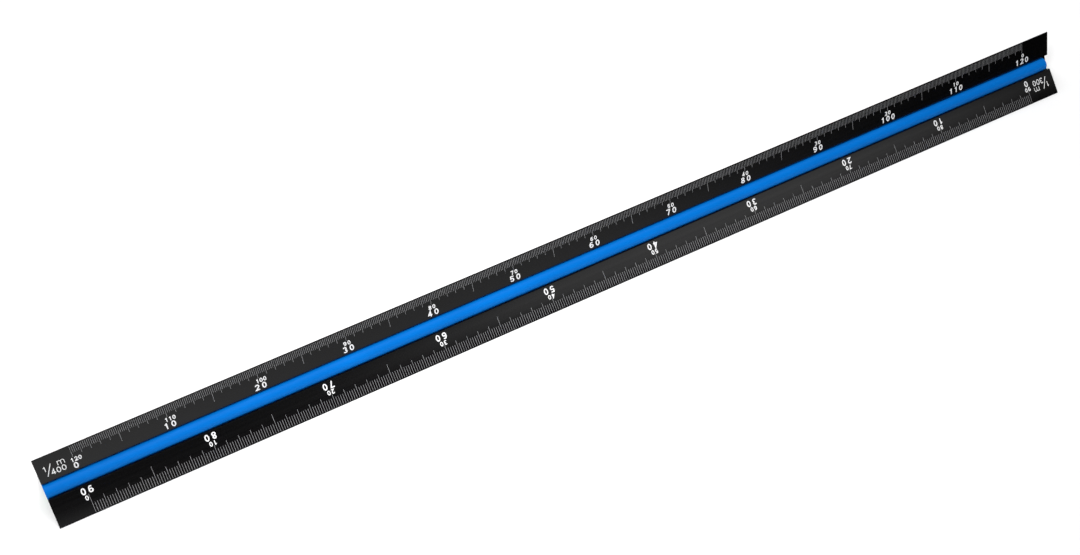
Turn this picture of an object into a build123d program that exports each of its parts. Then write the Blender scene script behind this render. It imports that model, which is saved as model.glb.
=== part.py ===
"""Triangular scale ruler: a tri-lobed aluminium extrusion with a coloured inlay strip in each face.

The ruler lies along X on one of its three equal faces, with +Z up. The origin is at the middle of
its length, on the surface it rests on. The left end of the front face is at -X.
Each section is first drawn for the underside face and then turned to the other two faces.
"""
from build123d import *
from math import isclose, sqrt
import os

# Lengths along X, in mm
GRADUATED_LENGTH = 300.0
LEFT_MARGIN = 9.6
RIGHT_MARGIN = 9.9
STRIP_SHORTFALL = 1.75

# Body section, in mm
FACE_WIDTH = 20.0
EDGE_RADIUS = 0.15
LAND_WIDTH = 0.4
LIP_DEPTH = 1.87
LIP_THICKNESS = 0.8
LIP_RADIUS = 0.08
MOUTH_WIDTH = 4.5
GROOVE_WIDTH = 5.1
GROOVE_FLOOR_DEPTH = 3.32
GROOVE_CORNER_RADIUS = 0.25

# Inlay strip section, in mm
CROWN_RADIUS = 1.8
CROWN_CENTRE_DEPTH = 2.42
FOOT_WIDTH = 4.9
FOOT_THICKNESS = 0.55
FOOT_CORNER_RADIUS = 0.2

# Worked out from the sizes above
BODY_LENGTH = LEFT_MARGIN + GRADUATED_LENGTH + RIGHT_MARGIN
STRIP_LENGTH = BODY_LENGTH - STRIP_SHORTFALL
LEFT_END = -BODY_LENGTH / 2
INRADIUS = FACE_WIDTH / (2 * sqrt(3))

# Turn of each face about the ruler's long axis, from the underside, seen from the right end
FACE_TURNS = {"underside": 0.0, "rear": 120.0, "front": -120.0}


def at_face(across, depth):
    """A point of the underside face: how far across it, and how deep below its plane."""
    return (across, depth - INRADIUS)


def extrude_along_x(section, length):
    """The section, drawn about the centre of the triangle, extruded from the left end."""
    profile_plane = Plane(origin=(LEFT_END, 0, INRADIUS), x_dir=(0, 1, 0), z_dir=(1, 0, 0))
    return extrude(profile_plane * section, amount=length)


def triangle():
    """The full triangle with its three long edges rounded."""
    half = FACE_WIDTH / 2
    outline = Polygon(
        at_face(-half, 0),
        at_face(half, 0),
        (0, 2 * INRADIUS),
        align=None,
    )
    return fillet(outline.vertices(), EDGE_RADIUS)


def face_hollow():
    """What is cut from one face: the dished strips between its lands, and the undercut groove."""
    mouth = MOUTH_WIDTH / 2
    wall = GROOVE_WIDTH / 2
    lip_underside = LIP_DEPTH + LIP_THICKNESS
    right_half = [
        (FACE_WIDTH / 2 - LAND_WIDTH, 0),
        (mouth, LIP_DEPTH),
        (mouth, lip_underside),
        (wall, lip_underside),
        (wall, GROOVE_FLOOR_DEPTH),
    ]
    left_half = [(-across, depth) for across, depth in reversed(right_half)]
    outline = [at_face(across, depth) for across, depth in right_half + left_half]
    hollow = Polygon(*outline, align=None)
    lips = [v for v in hollow.vertices() if isclose(abs(v.X), mouth)]
    hollow = fillet(lips, LIP_RADIUS)
    floor_corners = hollow.vertices().group_by(Axis.Y)[-1]
    return fillet(floor_corners, GROOVE_CORNER_RADIUS)


def extruded_body():
    """The aluminium extrusion, with its ends cut square."""
    section = triangle()
    for turn in FACE_TURNS.values():
        section -= Rot(Z=turn) * face_hollow()
    return extrude_along_x(section, BODY_LENGTH)


def strip_section():
    """A D-shaped crown on a flat foot that is wider than the mouth of the groove."""
    foot_top = GROOVE_FLOOR_DEPTH - FOOT_THICKNESS
    crown = Pos(*at_face(0, CROWN_CENTRE_DEPTH)) * Circle(CROWN_RADIUS)
    above_floor = Pos(*at_face(0, GROOVE_FLOOR_DEPTH / 2)) * Rectangle(FACE_WIDTH, GROOVE_FLOOR_DEPTH)
    foot_centre = foot_top + FOOT_THICKNESS / 2
    foot = Pos(*at_face(0, foot_centre)) * Rectangle(FOOT_WIDTH, FOOT_THICKNESS)
    foot = fillet(foot.vertices(), FOOT_CORNER_RADIUS)
    return (crown & above_floor) + foot


def inlay_strip(face):
    """The coloured plastic strip of one face, flush with the left end and short of the right one."""
    section = Rot(Z=FACE_TURNS[face]) * strip_section()
    return extrude_along_x(section, STRIP_LENGTH)


PARTS = {
    "extruded_body": (extruded_body(), Color(0.05, 0.05, 0.06)),
    "blue_inlay_strip": (inlay_strip("front"), Color(0.02, 0.38, 0.82)),
    "red_inlay_strip": (inlay_strip("rear"), Color(0.75, 0.06, 0.06)),
    "green_inlay_strip": (inlay_strip("underside"), Color(0.05, 0.5, 0.2)),
}

os.makedirs("parts", exist_ok=True)
for name, (shape, colour) in PARTS.items():
    shape.label = name
    shape.color = colour
    export_step(shape, f"parts/{name}.step")
    print(f"{name}: {shape.volume:.1f} mm3, valid {shape.is_valid}")
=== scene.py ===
"""Looks of the triangular scale ruler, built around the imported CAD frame.

The section sizes repeat those of the CAD model, in millimetres, except for the corners of the
strips' foot, which are 0.02 mm tighter. Each piece is made in millimetres in the row frame and
then scaled to metres. A face is described from its own middle: "across" it, towards the edge that
is uppermost when its first scale is read, and "out" of it.
"""

from math import acos, atan2, cos, pi, radians, sin, sqrt, tan

import bmesh
import bpy
from mathutils import Matrix, Vector
from mathutils.geometry import delaunay_2d_cdt


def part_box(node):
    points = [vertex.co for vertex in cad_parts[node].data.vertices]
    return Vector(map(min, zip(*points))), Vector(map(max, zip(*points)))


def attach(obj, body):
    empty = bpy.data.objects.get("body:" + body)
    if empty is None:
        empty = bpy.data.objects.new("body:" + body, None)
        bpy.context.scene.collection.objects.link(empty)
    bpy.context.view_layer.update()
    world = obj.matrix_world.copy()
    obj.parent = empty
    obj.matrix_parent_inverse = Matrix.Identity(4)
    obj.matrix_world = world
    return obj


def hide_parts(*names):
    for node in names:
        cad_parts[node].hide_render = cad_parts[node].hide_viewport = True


MM = 0.001

# Body section, mm
FACE_WIDTH = 20.0
EDGE_RADIUS = 0.15
LAND_WIDTH = 0.4
LIP_DEPTH = 1.87
LIP_THICKNESS = 0.8
LIP_RADIUS = 0.08
MOUTH_WIDTH = 4.5
GROOVE_WIDTH = 5.1
GROOVE_FLOOR_DEPTH = 3.32
GROOVE_CORNER_RADIUS = 0.25
END_CHAMFER = 0.06

# Inlay strip section, mm
CROWN_RADIUS = 1.8
CROWN_CENTRE_DEPTH = 2.42
FOOT_WIDTH = 4.9
FOOT_THICKNESS = 0.55
FOOT_CORNER_RADIUS = 0.18
STRIP_END_CHAMFER = 0.1

# Edges that turn by more than this stay sharp when the rest is shaded smooth, degrees
SHARP_ANGLE = 28

# Scales, mm
LEFT_MARGIN = 9.6
RIGHT_MARGIN = 9.9
GRADUATED_LENGTH = 300.0

# Worked out from the sizes above
INRADIUS = FACE_WIDTH / (2 * sqrt(3))
DISH_EDGE = FACE_WIDTH / 2 - LAND_WIDTH
STRIP_SLOPE = atan2(LIP_DEPTH, DISH_EDGE - MOUTH_WIDTH / 2)

# The turn from one face to the next
THIRD = 2 * pi / 3

# Points that are closer than this, in whatever unit they are in, count as one point
TOUCHING = 1e-6

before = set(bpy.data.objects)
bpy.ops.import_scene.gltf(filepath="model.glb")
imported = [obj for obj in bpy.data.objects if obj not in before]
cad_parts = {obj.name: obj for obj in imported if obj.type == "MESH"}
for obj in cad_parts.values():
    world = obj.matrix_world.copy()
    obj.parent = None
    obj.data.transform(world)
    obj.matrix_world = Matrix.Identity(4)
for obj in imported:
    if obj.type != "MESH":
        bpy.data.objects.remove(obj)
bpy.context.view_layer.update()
body_low, body_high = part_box("extruded_body")
LEFT_END = body_low[0] / MM
RIGHT_END = body_high[0] / MM


# ---------------------------------------------------------------- materials

# Most of a noise texture's values lie between these
USUAL_NOISE = (0.3, 0.7)


def new_material(name):
    """An empty node material, its Principled shader, and a function that adds a node to it."""
    material = bpy.data.materials.new(name)
    material.use_nodes = True
    tree = material.node_tree
    shader = tree.nodes["Principled BSDF"]

    def add(kind, **values):
        node = tree.nodes.new(kind)
        for key, value in values.items():
            setattr(node, key, value)
        return node

    return material, tree, shader, add


def stretched_noise(tree, add, along, across, detail=3):
    """Noise with so many features in a metre along the ruler, and so many in a metre across it."""
    place = add("ShaderNodeTexCoord")
    stretch = add("ShaderNodeMapping")
    stretch.inputs["Scale"].default_value = (along, across, across)
    noise = add("ShaderNodeTexNoise")
    noise.inputs["Scale"].default_value = 1.0
    noise.inputs["Detail"].default_value = detail
    tree.links.new(place.outputs["Object"], stretch.inputs["Vector"])
    tree.links.new(stretch.outputs["Vector"], noise.inputs["Vector"])
    return noise.outputs["Fac"]


def spread(tree, add, value, low, high):
    """A noise value, mapped from its usual range onto another one."""
    remap = add("ShaderNodeMapRange")
    remap.inputs["From Min"].default_value = USUAL_NOISE[0]
    remap.inputs["From Max"].default_value = USUAL_NOISE[1]
    remap.inputs["To Min"].default_value = low
    remap.inputs["To Max"].default_value = high
    tree.links.new(value, remap.inputs["Value"])
    return remap.outputs["Result"]


def colour_between(tree, add, value, first, second):
    """A colour that wanders between two with the noise value."""
    mix = add("ShaderNodeMix", data_type="RGBA")
    mix.inputs["A"].default_value = (*first, 1)
    mix.inputs["B"].default_value = (*second, 1)
    tree.links.new(spread(tree, add, value, low=0, high=1), mix.inputs["Factor"])
    return mix.outputs["Result"]


def bump(tree, add, height, depth_mm, strength, under=None):
    """A bump of the given depth, on top of another bump's normal if there is one."""
    node = add("ShaderNodeBump")
    node.inputs["Distance"].default_value = depth_mm * MM
    node.inputs["Strength"].default_value = strength
    tree.links.new(height, node.inputs["Height"])
    if under is not None:
        tree.links.new(under, node.inputs["Normal"])
    return node.outputs["Normal"]


def anodised_aluminium():
    """Black anodising over extruded aluminium: die lines along it under a fine matt grain."""
    material, tree, shader, add = new_material("black_anodised_aluminium")
    cloud = stretched_noise(tree, add, along=12, across=90, detail=4)
    die_lines = stretched_noise(tree, add, along=3, across=5200, detail=4)
    grain = stretched_noise(tree, add, along=21000, across=21000, detail=2)
    tint = colour_between(tree, add, cloud, (0.0007, 0.0007, 0.0009), (0.0013, 0.0012, 0.0015))
    tree.links.new(tint, shader.inputs["Base Color"])
    tree.links.new(spread(tree, add, die_lines, low=0.19, high=0.25), shader.inputs["Roughness"])
    lines = bump(tree, add, die_lines, depth_mm=0.0016, strength=0.35)
    grained = bump(tree, add, grain, depth_mm=0.0012, strength=0.25, under=lines)
    tree.links.new(grained, shader.inputs["Normal"])
    shader.inputs["IOR"].default_value = 1.5
    return material


def moulded_plastic(name, dark, light):
    """Through-coloured satin plastic with faint extrusion lines and a soft mottle."""
    material, tree, shader, add = new_material(name)
    mottle = stretched_noise(tree, add, along=60, across=300, detail=4)
    draw_lines = stretched_noise(tree, add, along=6, across=3800)
    tree.links.new(colour_between(tree, add, mottle, dark, light), shader.inputs["Base Color"])
    tree.links.new(spread(tree, add, draw_lines, low=0.42, high=0.52), shader.inputs["Roughness"])
    lines = bump(tree, add, draw_lines, depth_mm=0.002, strength=0.3)
    tree.links.new(lines, shader.inputs["Normal"])
    shader.inputs["Specular IOR Level"].default_value = 0.06
    return material


def printing_ink(name, thin, full):
    """White screen-printed ink, a little uneven in how thickly it lies."""
    material, tree, shader, add = new_material(name)
    cover = stretched_noise(tree, add, along=2600, across=2600)
    tree.links.new(colour_between(tree, add, cover, thin, full), shader.inputs["Base Color"])
    tree.links.new(spread(tree, add, cover, low=0.5, high=0.66), shader.inputs["Roughness"])
    tree.links.new(bump(tree, add, cover, depth_mm=0.003, strength=0.4), shader.inputs["Normal"])
    return material


BLACK = anodised_aluminium()
BLUE = moulded_plastic("blue_plastic", (0.0001, 0.140, 0.53), (0.0002, 0.159, 0.595))
RED = moulded_plastic("red_plastic", (0.50, 0.008, 0.010), (0.58, 0.012, 0.014))
GREEN = moulded_plastic("green_plastic", (0.004, 0.215, 0.060), (0.006, 0.255, 0.075))
FIGURE_INK = printing_ink("white_figure_ink", (0.86, 0.86, 0.86), (0.94, 0.94, 0.94))
TICK_INK = printing_ink("white_line_ink", (0.29, 0.29, 0.30), (0.36, 0.36, 0.37))


# ---------------------------------------------------------------- extruded sections

def rounded(corners, segments=8):
    """A closed outline from (x, y, radius) corners, with an arc where there is a radius."""
    outline = []
    for i, (x, y, radius) in enumerate(corners):
        here = Vector((x, y))
        if not radius:
            outline.append(here)
            continue
        before = (Vector(corners[i - 1][:2]) - here).normalized()
        after = (Vector(corners[(i + 1) % len(corners)][:2]) - here).normalized()
        half_angle = acos(max(-1.0, min(1.0, before.dot(after)))) / 2
        centre = here + (before + after).normalized() * (radius / sin(half_angle))
        start = here + before * (radius / tan(half_angle)) - centre
        sweep = pi - 2 * half_angle
        if before.cross(after) > 0:
            sweep = -sweep
        for step in range(segments + 1):
            outline.append(centre + Matrix.Rotation(sweep * step / segments, 2) @ start)
    return outline


def inset(outline, amount):
    """The outline moved inwards, for one that runs counter-clockwise."""
    moved = []
    for i, here in enumerate(outline):
        into = (here - outline[i - 1]).normalized()
        out_of = (outline[(i + 1) % len(outline)] - here).normalized()
        inward = Vector((-into.y, into.x)) + Vector((-out_of.y, out_of.x))
        moved.append(here + inward * (2 * amount / inward.length_squared))
    return moved


def turned(points, turn):
    """Points of the underside face, as (across, depth), turned about the ruler's axis to a face."""
    spin = Matrix.Rotation(turn, 2)
    return [spin @ Vector((across, depth - INRADIUS)) for across, depth in points]


def body_outline():
    """The tri-lobed section: at each face two lands, two dished strips and an undercut groove."""
    mouth = MOUTH_WIDTH / 2
    wall = GROOVE_WIDTH / 2
    lip_underside = LIP_DEPTH + LIP_THICKNESS
    left_half = [
        (-FACE_WIDTH / 2, 0, EDGE_RADIUS),
        (-DISH_EDGE, 0, 0),
        (-mouth, LIP_DEPTH, LIP_RADIUS),
        (-mouth, lip_underside, LIP_RADIUS),
        (-wall, lip_underside, 0),
        (-wall, GROOVE_FLOOR_DEPTH, GROOVE_CORNER_RADIUS),
    ]
    right_half = [(-across, depth, radius) for across, depth, radius in reversed(left_half[1:])]
    side = left_half + right_half
    flat = [(across, depth) for across, depth, radius in side]
    radii = [radius for across, depth, radius in side]
    corners = []
    for face in range(3):
        places = turned(flat, face * THIRD)
        corners += [(p.x, p.y, radius) for p, radius in zip(places, radii)]
    return rounded(corners)


def strip_outline(turn):
    """The inlay's section: a round crown that stands on a wider foot."""
    foot_top = GROOVE_FLOOR_DEPTH - FOOT_THICKNESS
    foot = FOOT_WIDTH / 2
    half_crown = pi - acos((foot_top - CROWN_CENTRE_DEPTH) / CROWN_RADIUS)
    crown_steps = 56
    crown = []
    for step in range(crown_steps + 1):
        angle = half_crown * (2 * step / crown_steps - 1)
        across = CROWN_RADIUS * sin(angle)
        crown.append((across, CROWN_CENTRE_DEPTH - CROWN_RADIUS * cos(angle), 0))
    foot_corners = [
        (foot, foot_top, FOOT_CORNER_RADIUS),
        (foot, GROOVE_FLOOR_DEPTH, FOOT_CORNER_RADIUS),
        (-foot, GROOVE_FLOOR_DEPTH, FOOT_CORNER_RADIUS),
        (-foot, foot_top, FOOT_CORNER_RADIUS),
    ]
    flat = [tuple(p) for p in rounded(crown + foot_corners)]
    return turned(flat, turn)


def extruded(name, outline, left, right, chamfer, material):
    """A solid along X from an outline in (Y, Z), about the ruler's axis, with chamfered ends."""
    narrow = inset(outline, chamfer)
    rings = ((left, narrow), (left + chamfer, outline), (right - chamfer, outline), (right, narrow))
    solid = bmesh.new()
    made = []
    for x, ring in rings:
        made.append([solid.verts.new((x, p.x, p.y + INRADIUS)) for p in ring])
    for near, far in zip(made, made[1:]):
        for i in range(len(near)):
            solid.faces.new((near[i - 1], near[i], far[i], far[i - 1]))
    solid.faces.new(made[0])
    solid.faces.new(made[-1])
    piece = to_object(name, solid, material)
    piece.data.shade_smooth()
    piece.data.set_sharp_from_angle(angle=radians(SHARP_ANGLE))
    return piece


def to_object(name, solid, material):
    """A finished piece from a bmesh in millimetres."""
    bmesh.ops.recalc_face_normals(solid, faces=solid.faces)
    bmesh.ops.scale(solid, vec=(MM, MM, MM), verts=solid.verts)
    mesh = bpy.data.meshes.new(name)
    solid.to_mesh(mesh)
    solid.free()
    mesh.materials.append(material)
    piece = bpy.data.objects.new(name, mesh)
    bpy.context.scene.collection.objects.link(piece)
    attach(piece, "root")
    return piece


def add_body():
    """The anodised extrusion."""
    body = extruded("anodised_body", body_outline(), LEFT_END, RIGHT_END, END_CHAMFER, BLACK)
    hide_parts("extruded_body")


def add_strip(colour, turn, material):
    """One coloured inlay, as long as its CAD node."""
    node = f"{colour}_inlay_strip"
    low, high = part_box(node)
    ends = low[0] / MM, high[0] / MM
    strip = extruded(f"{colour}_strip", strip_outline(turn), *ends, STRIP_END_CHAMFER, material)
    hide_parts(node)


# ---------------------------------------------------------------- figures

# Widths of the characters, when they are one unit high
DIGIT_WIDTH = 0.66
M_WIDTH = 1.42

# Their curves are drawn in steps of about this many degrees
ARC_STEP = 18

# Points of a character that are closer than this are merged, in parts of its height
MERGE_DISTANCE = 1e-5


def arc(centre_x, centre_y, radius_x, radius_y, start, end):
    """Points along part of an ellipse, from one angle in degrees to another."""
    steps = max(3, round(abs(end - start) / ARC_STEP))
    angles = [radians(start + (end - start) * i / steps) for i in range(steps + 1)]
    return [(centre_x + radius_x * cos(a), centre_y + radius_y * sin(a)) for a in angles]


def strokes_of(character, pen):
    """The centre lines of a character one unit high, inset so that a pen of that width fills it.

    Closed strokes end where they start.
    """
    low = pen / 2
    top = 1 - low
    left = low
    right = DIGIT_WIDTH - low
    middle = DIGIT_WIDTH / 2
    bowl = middle - low
    if character == "0":
        return [arc(middle, 0.5, bowl, top - 0.5, 90, 450)]
    if character == "1":
        return [[(0.39, 0), (0.39, 1)], [(0.39, top - 0.02), (0.16, 0.71)]]
    if character == "2":
        hook = arc(middle, top - bowl, bowl, bowl, 165, -35)
        return [hook + [(left + 0.02, low), (right + low, low)]]
    if character == "3":
        upper = arc(middle - 0.01, 0.715, bowl - 0.02, top - 0.715, 155, -90)
        lower = arc(middle, 0.275, bowl, 0.275 - low, 90, -158)
        return [upper, lower]
    if character == "4":
        return [[(0.45, 0), (0.45, top), (left, 0.29), (right + low, 0.29)]]
    if character == "5":
        bowl_line = arc(middle, 0.33, bowl, 0.33 - low, 140, -155)
        return [[(right + 0.04, top), (left + 0.08, top), (left + 0.02, 0.47)], bowl_line]
    if character == "6":
        stem = arc(middle + 0.05, 0.5, bowl + 0.05, top - 0.5, 200, 55)
        return [arc(middle, 0.315, bowl, 0.315 - low, 90, 450), stem]
    if character == "7":
        return [[(0.02, top), (right, top), (0.25, 0)]]
    if character == "8":
        upper = arc(middle, 0.735, bowl - 0.035, top - 0.735, 90, 450)
        return [upper, arc(middle, 0.275, bowl, 0.275 - low, 90, 450)]
    if character == "9":
        return [[(DIGIT_WIDTH - x, 1 - y) for x, y in line] for line in strokes_of("6", pen)]
    if character == "m":
        return m_strokes(low, top)
    raise ValueError(f"no strokes for {character}")


def m_strokes(low, top):
    """A round-shouldered m, one unit high."""
    stems = (low, M_WIDTH / 2, M_WIDTH - low)
    shoulder = (stems[1] - stems[0]) / 2
    spring = top - shoulder
    lines = [[(stems[0], 0), (stems[0], 1)]]
    for start, end in zip(stems, stems[1:]):
        crest = arc((start + end) / 2, spring, shoulder, shoulder, 180, 0)
        lines.append([(start, spring - 0.05)] + crest + [(end, 0)])
    return lines


def ribbon(line, pen):
    """The quads of a stroke of that pen width, with mitred corners and square ends."""
    points = [Vector(p) for p in line]
    closed = (points[0] - points[-1]).length < TOUCHING
    count = len(points)
    edges = []
    for i, here in enumerate(points):
        if closed and i in (0, count - 1):
            before, after = points[count - 2], points[1]
        else:
            before, after = points[max(i - 1, 0)], points[min(i + 1, count - 1)]
        into = (here - before).normalized() if here != before else (after - here).normalized()
        out_of = (after - here).normalized() if after != here else into
        side = Vector((-into.y, into.x)) + Vector((-out_of.y, out_of.x))
        offset = side * (pen / side.length_squared)
        edges.append((here + offset, here - offset))
    return [(a[0], a[1], b[1], b[0]) for a, b in zip(edges, edges[1:])]


# Characters that have been drawn, by character and pen width
GLYPHS = {}


def glyph(character, pen):
    """The flat triangles of a character, with its overlapping strokes joined into one shape."""
    if (character, pen) not in GLYPHS:
        quads = [q for line in strokes_of(character, pen) for q in ribbon(line, pen)]
        GLYPHS[character, pen] = joined(quads)
    return GLYPHS[character, pen]


def joined(quads):
    """Overlapping quads as one set of points and triangles.

    The triangulation fills its convex hull, so the triangles that come from no quad are dropped.
    """
    points = [p for quad in quads for p in quad]
    faces = [tuple(range(4 * i, 4 * i + 4)) for i in range(len(quads))]
    fill_hull = 0
    result = delaunay_2d_cdt(points, [], faces, fill_hull, MERGE_DISTANCE)
    verts, tris, sources = result[0], result[2], result[5]
    return verts, [tri for tri, source in zip(tris, sources) if source]


# ---------------------------------------------------------------- print on the strips

# How far the ink stands above the strip, and how far it reaches below its surface, mm
INK_HEIGHT = 0.02
INK_ROOT = 0.01

# Where the graduations start, down the strip from the land, mm
TICK_START = 0.05

# Tick lengths in mm (fine, medium, long, at a figure), for a pitch of up to half a millimetre and
# for a wider one
CLOSE_LINES = (2.15, 3.1, 4.85, 3.4)
WIDE_LINES = (2.62, 3.6, 5.1, 3.7)

# Large figures, mm: height, base line down from the land, and pitch for one, two or three digits
FIGURE_HEIGHT = 1.85
FIGURE_BASE = 7.0
FIGURE_PITCHES = (1.95, 1.95, 1.82)

# Small figures that count back, mm: the same, and how far one, two or three digits are shifted
# along the scale from their graduation, or a zero from a long last line
REVERSE_HEIGHT = 1.28
REVERSE_BASE = 4.88
REVERSE_PITCHES = (1.17, 1.17, 1.02)
REVERSE_SHIFTS = (0.3, 0, 0.55)
LONG_END_SHIFT = 0.72

# Widths of the pens, as parts of a character's height
FIGURE_PEN = 0.18
LEGEND_PEN = 0.125

# The legend's slash, mm: its ends, as (along, down), and its width
SLASH = ((-7.3, 6.0), (-5.65, 2.55))
SLASH_WIDTH = 0.2


class Print:
    """Ink on one graduated strip, placed by its distance along the scale and down from the land."""

    def __init__(self, angle, reverse):
        """The strip of a face whose "across" is at that angle from +Y towards +Z."""
        across = Vector((0, cos(angle), sin(angle)))
        out = Vector((0, -sin(angle), cos(angle)))
        self.along = Vector((1, 0, 0))
        start = LEFT_END + LEFT_MARGIN
        if reverse:
            self.along = -self.along
            across = -across
            start = RIGHT_END - RIGHT_MARGIN
        self.up = across * cos(STRIP_SLOPE) + out * sin(STRIP_SLOPE)
        self.out = self.along.cross(self.up)
        middle = Vector((start, 0, INRADIUS)) + out * INRADIUS
        self.origin = middle + across * DISH_EDGE
        self.solid = bmesh.new()

    def place(self, along, down, height):
        """A point on the strip, or above it."""
        return self.origin + self.along * along - self.up * down + self.out * height

    def add(self, points, faces):
        """A closed film of ink, its underside just below the surface, from (along, down) points."""
        top = [self.solid.verts.new(self.place(a, d, INK_HEIGHT)) for a, d in points]
        root = [self.solid.verts.new(self.place(a, d, -INK_ROOT)) for a, d in points]
        borders = {}
        for face in faces:
            self.solid.faces.new([top[i] for i in face])
            self.solid.faces.new([root[i] for i in reversed(face)])
            for edge in zip(face, face[1:] + face[:1]):
                key = tuple(sorted(edge))
                borders[key] = None if key in borders else edge
        for edge in filter(None, borders.values()):
            a, b = edge
            self.solid.faces.new((top[b], top[a], root[a], root[b]))

    def bar(self, along, start, end, width):
        """One graduation."""
        left, right = along - width / 2, along + width / 2
        self.add([(left, start), (left, end), (right, end), (right, start)], [[0, 1, 2, 3]])

    def write(self, text, centre, base, height, pitch, pen):
        """Evenly spaced characters, centred along the scale, standing on a line."""
        for i, character in enumerate(text):
            along = centre + (i - (len(text) - 1) / 2) * pitch
            verts, faces = glyph(character, pen)
            middle = (min(v.x for v in verts) + max(v.x for v in verts)) / 2
            if character.isdigit():
                middle = DIGIT_WIDTH / 2
            flat = [(along + (v.x - middle) * height, base - v.y * height) for v in verts]
            self.add(flat, [list(face) for face in faces])

    def done(self, name, material):
        """The print as a piece."""
        piece = to_object(name, self.solid, material)


class Scale:
    """One reduction scale: its ratio, and how its graduations step, in metres at full size."""

    def __init__(self, ratio, fine, medium, long, figure, lengths, line_width, long_end=False):
        self.ratio = ratio
        self.fine = fine
        self.step = figure
        self.lengths = lengths
        self.line_width = line_width
        self.long_end = long_end
        # What a metre measures on the ruler in mm, the metres to the end, and the last line's index
        self.metre = 1000 / ratio
        self.total = round(GRADUATED_LENGTH / self.metre)
        self.last = round(self.total / fine)
        # Fine steps from one medium, long or figured line to the next
        self.medium = round(medium / fine)
        self.long = round(long / fine)
        self.figure = round(figure / fine)

    def tick_length(self, index):
        """How far a graduation reaches down from the land."""
        fine, medium, long, figure = self.lengths
        if self.long_end and index == self.last:
            return long
        if index % self.figure == 0:
            return figure
        if index % self.long == 0:
            return long
        return medium if index % self.medium == 0 else fine


# Each scale: its ratio, the metres from one fine, medium, long and figured line to the next, the
# lengths and the width of its lines in mm, and whether its last line is a long one
SCALES = {
    100: Scale(100, 0.1, 0.5, 1, 1, WIDE_LINES, 0.075),
    200: Scale(200, 0.1, 0.5, 1, 5, CLOSE_LINES, 0.07),
    300: Scale(300, 0.2, 1, 5, 10, WIDE_LINES, 0.075, long_end=True),
    400: Scale(400, 0.2, 1, 5, 10, CLOSE_LINES, 0.07),
    500: Scale(500, 0.5, 1, 5, 10, WIDE_LINES, 0.075),
    600: Scale(600, 0.5, 1, 5, 10, WIDE_LINES, 0.075, long_end=True),
}


def add_graduations(scale, angle, reverse):
    """The lines of a scale."""
    ink = Print(angle, reverse)
    for index in range(scale.last + 1):
        along = index * scale.fine * scale.metre
        ink.bar(along, TICK_START, scale.tick_length(index), scale.line_width)
    ink.done(f"graduations_1_{scale.ratio}", TICK_INK)


def add_figures(scale, angle, reverse):
    """The large figures, and above them the small ones that count back from the other end."""
    ink = Print(angle, reverse)
    for value in range(0, scale.total + 1, scale.step):
        along = value * scale.metre
        text = str(value)
        pitch = FIGURE_PITCHES[len(text) - 1]
        ink.write(text, along, FIGURE_BASE, FIGURE_HEIGHT, pitch, FIGURE_PEN)
        text = str(scale.total - value)
        pitch = REVERSE_PITCHES[len(text) - 1]
        shift = REVERSE_SHIFTS[len(text) - 1]
        if scale.long_end and text == "0":
            shift = LONG_END_SHIFT
        ink.write(text, along + shift, REVERSE_BASE, REVERSE_HEIGHT, pitch, FIGURE_PEN)
    ink.done(f"figures_1_{scale.ratio}", FIGURE_INK)


def add_legend(scale, angle, reverse):
    """The ratio before the zero: a raised 1, a slash, the divisor below, and an m for metres."""
    ink = Print(angle, reverse)
    ratio = str(scale.ratio)
    slash = ribbon(SLASH, SLASH_WIDTH)[0]
    ink.write("1", centre=-7.45, base=4.4, height=1.6, pitch=1, pen=LEGEND_PEN)
    ink.add([tuple(p) for p in slash], [[0, 1, 2, 3]])
    ink.write(ratio, centre=-4.27, base=6.08, height=1.7, pitch=1.38, pen=LEGEND_PEN)
    ink.write("m", centre=-3.15, base=3.98, height=1.32, pitch=1, pen=LEGEND_PEN)
    ink.done(f"legend_1_{scale.ratio}", FIGURE_INK)


def add_scale(ratio, angle, reverse):
    """Everything printed on one strip."""
    scale = SCALES[ratio]
    for add_part in (add_graduations, add_figures, add_legend):
        add_part(scale, angle, reverse)


# ---------------------------------------------------------------- the object

# Each face: its strip's colour, the turn of its section from the underside, and its two scales.
# The first scale is read along +X, and the second the other way, on the other edge.
FACES = (
    ("blue", -THIRD, BLUE, 400, 300),
    ("green", 0, GREEN, 500, 600),
    ("red", THIRD, RED, 100, 200),
)

add_body()
for colour, turn, plastic, first, second in FACES:
    add_strip(colour, turn, plastic)
    angle = turn + pi
    add_scale(first, angle, reverse=False)
    add_scale(second, angle, reverse=True)


# ---------------------------------------------------------------- the stage

# The sweep, m: the flat floor's radius, the bend's radius and the height of the wall, and the
# radius of the near floor, which is the only part that throws diffuse light back at the object
SWEEP_FLOOR = 1.7
SWEEP_BEND = 0.6
SWEEP_HEIGHT = 2.2
NEAR_FLOOR = 0.32

# How many flats stand for the bend, and for a full turn of the sweep
BEND_STEPS = 16
LATHE_STEPS = 96

# The glow of its paint: how far from the middle it starts and is full, m, and its full strength
GLOW_START = 0.15
GLOW_FULL = 1.1
FULL_GLOW = 0.85

# The pool of the key light on the ruler: its middle along X and its radius, m, and how soft its
# edge is
KEY_POOL_CENTRE = -0.03
KEY_POOL_RADIUS = 0.2
KEY_POOL_BLEND = 0.85

# Soft glows of the studio: where each is, how far from its middle it is full and where it ends, in
# degrees, and its brightness
GLOWS = (
    (-30, -18, 28, 40, 0.24),
    (-30, -18, 49, 56, 0.50),
    (28, 33, 5, 13, 1.2),
    (180, 40, 30, 100, 0.55),
)

# The viewpoint: its place in mm, its angles in degrees and its focal length in mm
CAMERA_POSITION = (-155.49, -278.5, 351.3)
CAMERA_AZIMUTH = 26.497
CAMERA_ELEVATION = 48.092
CAMERA_ROLL = -2.865
CAMERA_LENS = 55.77


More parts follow.
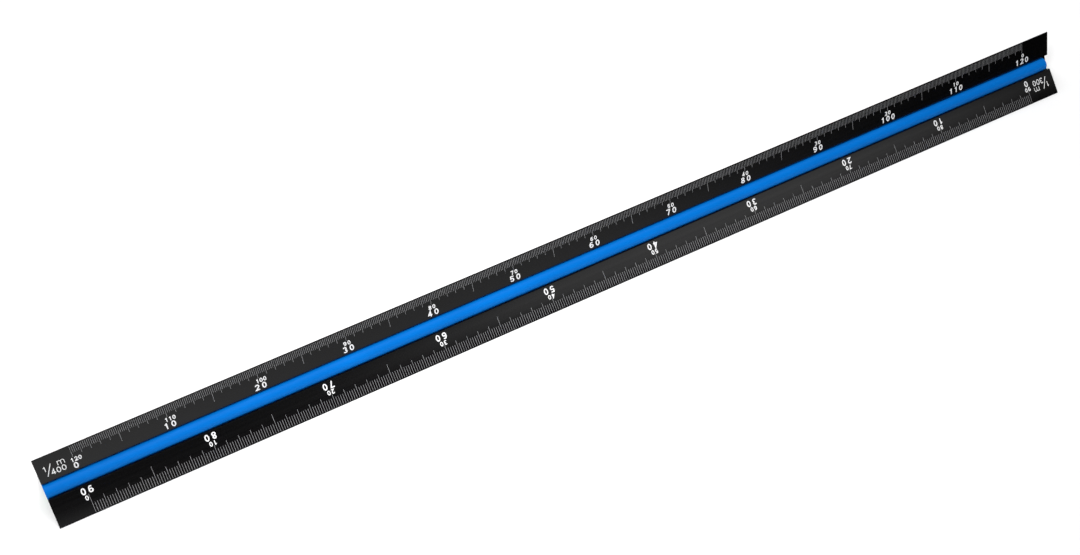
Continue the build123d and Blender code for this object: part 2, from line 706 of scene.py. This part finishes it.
def lathed(name, profile):
    """A surface of revolution about Z, from (away, height) points, left out of reflections."""
    surface = bmesh.new()
    points = [surface.verts.new((away, 0, height)) for away, height in profile]
    lines = [surface.edges.new(pair) for pair in zip(points, points[1:])]
    bmesh.ops.spin(
        surface,
        geom=points + lines,
        cent=(0, 0, 0),
        axis=(0, 0, 1),
        angle=2 * pi,
        steps=LATHE_STEPS,
    )
    bmesh.ops.remove_doubles(surface, verts=surface.verts, dist=TOUCHING)
    bmesh.ops.recalc_face_normals(surface, faces=surface.faces)
    mesh = bpy.data.meshes.new(name)
    surface.to_mesh(mesh)
    surface.free()
    mesh.shade_smooth()
    piece = bpy.data.objects.new(name, mesh)
    bpy.context.scene.collection.objects.link(piece)
    piece.visible_glossy = False
    return piece


def pale_backdrop():
    """Matt paint that glows more the further it is from the middle of the floor."""
    material, tree, shader, add = new_material("pale_backdrop")
    shade = stretched_noise(tree, add, along=30, across=30)
    tint = colour_between(tree, add, shade, (0.86, 0.86, 0.86), (0.88, 0.88, 0.88))
    tree.links.new(tint, shader.inputs["Base Color"])
    shader.inputs["Roughness"].default_value = 0.9
    shader.inputs["Specular IOR Level"].default_value = 0.1
    place = add("ShaderNodeTexCoord")
    away = add("ShaderNodeVectorMath", operation="LENGTH")
    glow = add("ShaderNodeMapRange")
    glow.inputs["From Min"].default_value = GLOW_START
    glow.inputs["From Max"].default_value = GLOW_FULL
    glow.inputs["To Max"].default_value = FULL_GLOW
    tree.links.new(place.outputs["Object"], away.inputs[0])
    tree.links.new(away.outputs["Value"], glow.inputs["Value"])
    tree.links.new(glow.outputs["Result"], shader.inputs["Emission Strength"])
    shader.inputs["Emission Color"].default_value = (1, 1, 1, 1)
    material.cycles.emission_sampling = "NONE"
    return material


def add_sweep():
    """A plain pale floor that curves up into a wall all round, in two pieces.

    Both are left out of reflections, which come from the studio around them, and the surround is
    left out of diffuse light too.
    """
    profile = [(NEAR_FLOOR, 0), (SWEEP_FLOOR, 0)]
    for step in range(1, BEND_STEPS + 1):
        angle = pi / 2 * step / BEND_STEPS
        away = SWEEP_FLOOR + SWEEP_BEND * sin(angle)
        profile.append((away, SWEEP_BEND * (1 - cos(angle))))
    profile.append((SWEEP_FLOOR + SWEEP_BEND, SWEEP_HEIGHT))
    near = lathed("near_floor", [(0, 0), (NEAR_FLOOR, 0)])
    surround = lathed("surround", profile)
    surround.visible_diffuse = False
    paint = pale_backdrop()
    for surface in (near, surround):
        surface.data.materials.append(paint)


def direction(azimuth, elevation):
    """A unit vector: azimuth in degrees from -Y towards +X, elevation above the horizon."""
    a, e = radians(azimuth), radians(elevation)
    return Vector((sin(a) * cos(e), -cos(a) * cos(e), sin(e)))


def add_studio():
    """A dark world with soft glows in it, which is what the dark faces mirror."""
    world = bpy.data.worlds.new("studio")
    bpy.context.scene.world = world
    world.use_nodes = True
    world.cycles.sampling_method = "NONE"
    tree = world.node_tree
    background = tree.nodes["Background"]
    place = tree.nodes.new("ShaderNodeTexCoord")
    total = None
    for azimuth, elevation, full, end, brightness in GLOWS:
        aim = tree.nodes.new("ShaderNodeVectorMath")
        aim.operation = "DOT_PRODUCT"
        aim.inputs[1].default_value = direction(azimuth, elevation)
        tree.links.new(place.outputs["Generated"], aim.inputs[0])
        falloff = tree.nodes.new("ShaderNodeMapRange")
        falloff.interpolation_type = "SMOOTHSTEP"
        falloff.inputs["From Min"].default_value = cos(radians(end))
        falloff.inputs["From Max"].default_value = cos(radians(full))
        falloff.inputs["To Max"].default_value = brightness
        tree.links.new(aim.outputs["Value"], falloff.inputs["Value"])
        glow = falloff.outputs["Result"]
        if total is not None:
            plus = tree.nodes.new("ShaderNodeMath")
            tree.links.new(total, plus.inputs[0])
            tree.links.new(glow, plus.inputs[1])
            glow = plus.outputs["Value"]
        total = glow
    tree.links.new(total, background.inputs["Strength"])
    background.inputs["Color"].default_value = (1, 1, 1, 1)


def add_softbox(name, azimuth, elevation, distance, size, power):
    """A square area light aimed at the ruler."""
    lamp = bpy.data.lights.new(name, "AREA")
    lamp.shape = "SQUARE"
    lamp.size = size
    lamp.energy = power
    place_lamp(lamp, direction(azimuth, elevation), distance, 0)


def add_key(azimuth, elevation, distance, radius, power):
    """The main light: a soft-edged pool whose edge falls across the ruler's right end."""
    lamp = bpy.data.lights.new("key_light", "SPOT")
    lamp.shadow_soft_size = radius
    lamp.energy = power
    lamp.spot_size = 2 * atan2(KEY_POOL_RADIUS, distance)
    lamp.spot_blend = KEY_POOL_BLEND
    place_lamp(lamp, direction(azimuth, elevation), distance, KEY_POOL_CENTRE)


def place_lamp(lamp, away, distance, aim_x):
    """A lamp at a distance from a point of the ruler's axis, turned to face that point."""
    holder = bpy.data.objects.new(lamp.name, lamp)
    holder.location = Vector((aim_x, 0, 0)) + away * distance
    holder.rotation_euler = away.to_track_quat("Z", "Y").to_euler()
    bpy.context.scene.collection.objects.link(holder)


def add_camera():
    """The viewpoint: its azimuth is turned from +Y towards +X, and its elevation looks down."""
    camera = bpy.data.objects.new("camera", bpy.data.cameras.new("camera"))
    camera.data.lens = CAMERA_LENS
    camera.data.clip_start = 0.01
    place = Matrix.Translation(Vector(CAMERA_POSITION) * MM)
    turn = Matrix.Rotation(radians(-CAMERA_AZIMUTH), 4, "Z")
    tilt = Matrix.Rotation(radians(90 - CAMERA_ELEVATION), 4, "X")
    roll = Matrix.Rotation(radians(CAMERA_ROLL), 4, "Z")
    camera.matrix_world = place @ turn @ tilt @ roll
    bpy.context.scene.collection.objects.link(camera)
    bpy.context.scene.camera = camera


add_sweep()
add_studio()
add_key(azimuth=-52, elevation=52, distance=0.8, radius=0.1, power=20)
add_softbox("top_softbox", azimuth=180, elevation=77, distance=1.3, size=1.0, power=13.4)
add_camera()
bpy.context.scene.view_settings.view_transform = "Standard"
